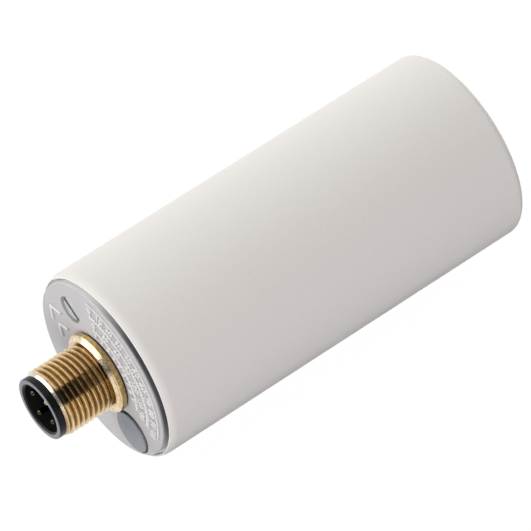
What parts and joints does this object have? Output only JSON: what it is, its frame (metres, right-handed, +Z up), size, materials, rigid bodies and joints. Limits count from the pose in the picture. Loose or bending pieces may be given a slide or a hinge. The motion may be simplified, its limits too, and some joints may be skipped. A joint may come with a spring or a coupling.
{
  "type": "capacitive proximity sensor",
  "caption": "Smooth white plastic sensor barrel with a flat sensing face, a grey end cap with adjusting screw and indicator window, and a threaded round plug connector.",
  "frame": {"origin": "centre of the flat sensing face", "axes": "+X out of the sensing face along the barrel, +Z up as the sensor lies on its side"},
  "size_m": [0.0867, 0.034, 0.034],
  "materials": {
    "housing_plastic": "satin moulded",
    "cap_plastic": "satin moulded",
    "brass": "machined",
    "insert_plastic": "moulded black",
    "gold_contacts": "gold plated",
    "black_rubber": "smooth",
    "grey_silicone": "smooth",
    "screw_steel": "turned",
    "lens_plastic": "smoked translucent",
    "led_resin": "tinted resin",
    "circuit_board": "solder resist",
    "frame_plastic": "natural moulded",
    "component_black": "moulded epoxy",
    "component_ceramic": "sintered",
    "capacitor_can": "drawn can",
    "copper": "copper sheet",
    "foam": "closed-cell foam",
    "trimmer_plastic": "moulded"
  },
  "bodies": {
    "sensor_body": {"barrel_housing": "housing_plastic", "board_carrier": "frame_plastic", "board_header": "component_black", "cap_seal_ring": "grey_silicone", "carrier_seal": "black_rubber", "chip_resistor_1": "component_ceramic", "chip_resistor_2": "component_ceramic", "chip_resistor_3": "component_ceramic", "chip_resistor_4": "component_ceramic", "comparator_chip": "component_black", "connector_gasket": "black_rubber", "connector_lock_nut": "brass", "connector_shell": "brass", "contact_carrier": "insert_plastic", "contact_pin_1": "gold_contacts", "contact_pin_2": "gold_contacts", "contact_pin_3": "gold_contacts", "contact_pin_4": "gold_contacts", "coupling_capacitor": "component_ceramic", "electrode_board": "circuit_board", "electrode_lead": "copper", "end_cap": "cap_plastic", "filter_choke": "component_black", "front_spacer": "foam", "guard_electrode": "copper", "guard_lead": "copper", "header_pin_1": "gold_contacts", "header_pin_2": "gold_contacts", "header_pin_3": "gold_contacts", "header_pin_4": "gold_contacts", "indicator_led": "led_resin", "indicator_lens": "lens_plastic", "lens_seal": "black_rubber", "main_board": "circuit_board", "oscillator_chip": "component_black", "output_transistor": "component_black", "potentiometer_body": "trimmer_plastic", "protection_diode": "component_black", "rear_board": "circuit_board", "screw_seal": "black_rubber", "sensing_electrode": "copper", "shield_sleeve": "copper", "smoothing_capacitor": "capacitor_can", "tuning_capacitor": "component_ceramic", "voltage_regulator": "component_black"},
    "adjuster": {"sensitivity_screw": "screw_steel"}
  },
  "joints": [
    {"name": "sensitivity_turn", "type": "hinge", "parent": "sensor_body", "child": "adjuster", "pos_m": [-0.0742, 0.00808, 0.00775], "axis": [-1, 0, 0], "range_deg": [-135, 135]}
  ]
}
